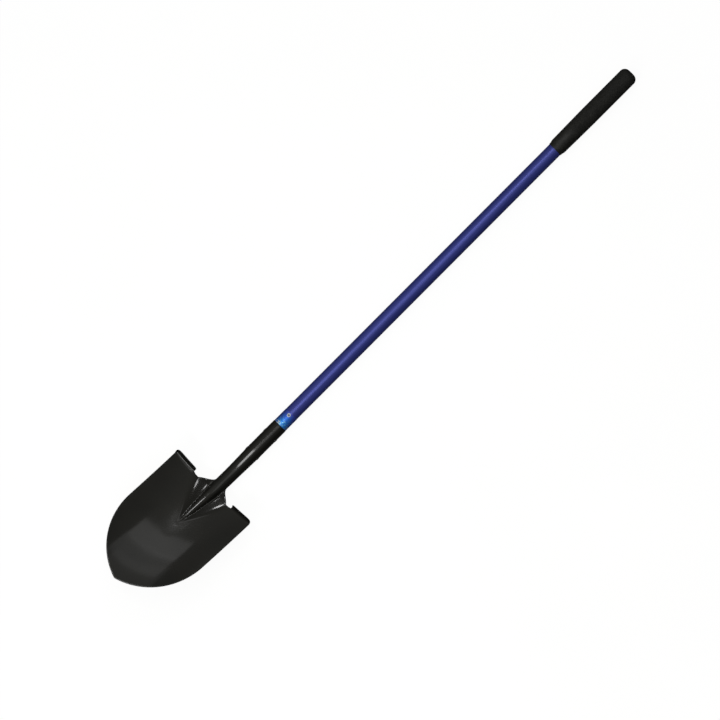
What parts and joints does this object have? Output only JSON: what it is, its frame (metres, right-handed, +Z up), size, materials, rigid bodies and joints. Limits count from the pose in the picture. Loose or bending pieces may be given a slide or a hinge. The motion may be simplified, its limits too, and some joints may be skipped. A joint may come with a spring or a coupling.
{
  "type": "round point shovel",
  "caption": "Long-handled round point digging shovel: dished steel blade with turned steps, rolled socket, straight handle and cushion grip.",
  "frame": {"origin": "middle of the overall length and width, on the floor that the shovel lies on, hollow side up", "axes": "+X along the handle from the blade's tip towards the grip's end, +Z up out of the hollow of the blade, Y across the blade"},
  "size_m": [1.55, 0.226, 0.1292],
  "materials": {
    "coated_steel": "semi-gloss black coating over steel",
    "fibreglass": "glossy blue resin with fine lengthwise glass fibres",
    "core_wood": "plain turned hardwood",
    "rivet_steel": "black-coated steel, same coating as the head",
    "plug_plastic": "matt moulded plastic",
    "grip_rubber": "black cushion vinyl, smooth below and finely textured above",
    "label_film": "glossy printed film"
  },
  "bodies": {
    "root": {"blade": "coated_steel", "handle_tube": "fibreglass", "socket_core": "core_wood", "rivet_upper": "rivet_steel", "rivet_lower": "rivet_steel", "end_plug": "plug_plastic", "grip": "grip_rubber", "label": "label_film"}
  },
  "joints": []
}
